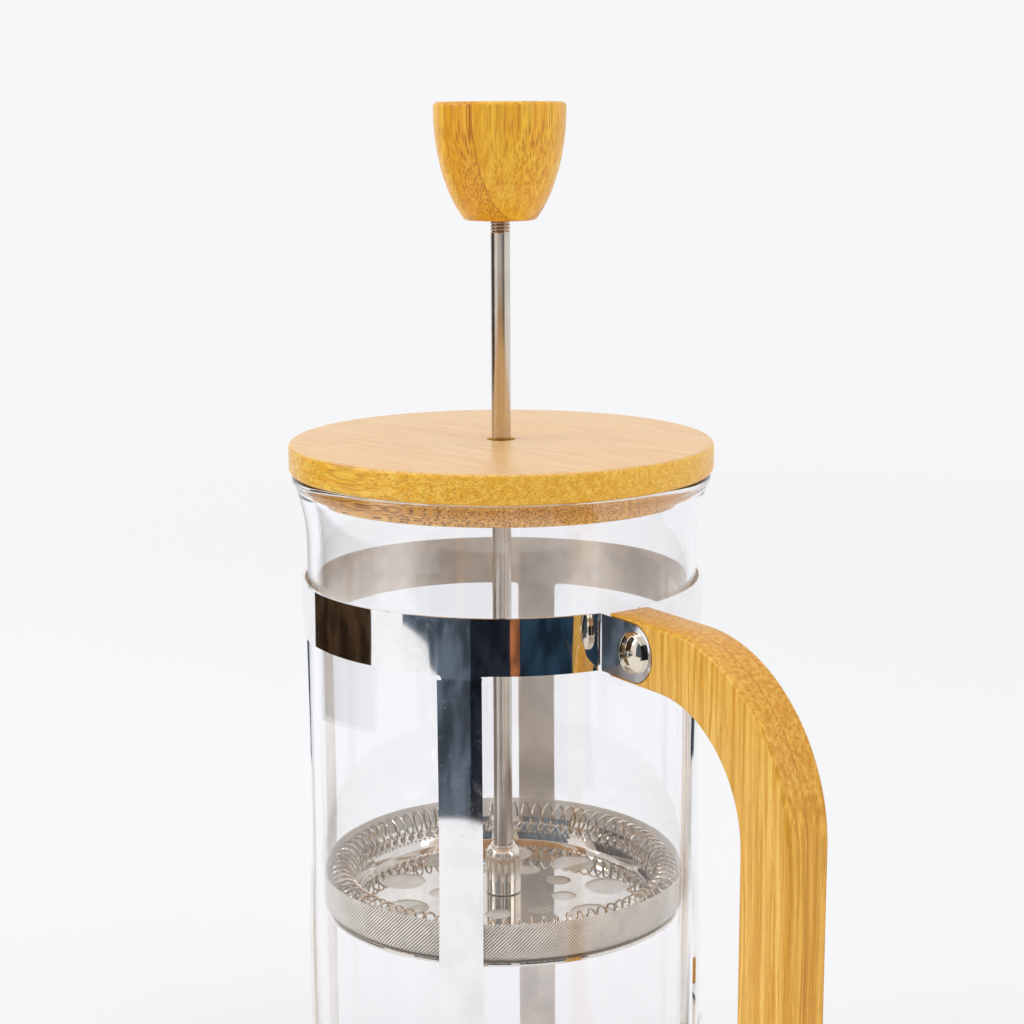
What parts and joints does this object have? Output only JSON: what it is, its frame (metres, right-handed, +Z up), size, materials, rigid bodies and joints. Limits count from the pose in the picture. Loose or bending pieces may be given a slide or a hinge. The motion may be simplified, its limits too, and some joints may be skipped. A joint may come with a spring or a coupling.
{
  "type": "french press",
  "caption": "Cafetiere with a glass beaker in a steel cage, a bamboo handle, lid and knob, and a plunger with a sprung mesh filter.",
  "frame": {"origin": "on the beaker's axis, in the plane of the table under the feet", "axes": "+Z up along the plunger rod, +X toward the handle, -X toward the pouring lip"},
  "size_m": [0.1722, 0.105, 0.2715],
  "materials": {
    "bamboo_knob": "satin",
    "bamboo_handle": "satin",
    "bamboo_lid": "satin",
    "bamboo_plug": "matte",
    "glass": "clear",
    "polished_steel": "polished",
    "satin_steel": "satin",
    "woven_steel": "woven",
    "insert_brass": "turned"
  },
  "bodies": {
    "frame": {"cage": "polished_steel", "left_bracket": "polished_steel", "right_bracket": "polished_steel", "bracket_rivets": "satin_steel", "handle": "bamboo_handle", "upper_handle_screw": "polished_steel", "upper_handle_nut": "polished_steel", "lower_handle_screw": "polished_steel", "lower_handle_nut": "polished_steel"},
    "beaker": {"glass_beaker": "glass"},
    "lid": {"lid_disc": "bamboo_lid", "lid_plug": "bamboo_plug"},
    "plunger": {"plunger_rod": "satin_steel", "hub_nut": "polished_steel"},
    "knob": {"knob": "bamboo_knob", "knob_insert": "insert_brass"},
    "filter": {"spring_plate": "polished_steel", "coil_spring": "satin_steel", "mesh_screen": "woven_steel", "cross_plate": "polished_steel", "filter_nut": "polished_steel"}
  },
  "joints": [
    {"name": "beaker_lift", "type": "slide", "parent": "frame", "child": "beaker", "axis": [0, 0, 1], "range_m": [0, 0.16]},
    {"name": "lid_lift", "type": "slide", "parent": "beaker", "child": "lid", "axis": [0, 0, 1], "range_m": [0, 0.18]},
    {"name": "plunger_slide", "type": "slide", "parent": "lid", "child": "plunger", "axis": [0, 0, 1], "range_m": [-0.0535, 0.0905]},
    {"name": "knob_turn", "type": "hinge", "parent": "plunger", "child": "knob", "pos_m": [0, 0, 0.2434], "axis": [0, 0, 1], "continuous": true},
    {"name": "filter_turn", "type": "hinge", "parent": "plunger", "child": "filter", "pos_m": [0, 0, 0.0718], "axis": [0, 0, 1], "continuous": true}
  ]
}
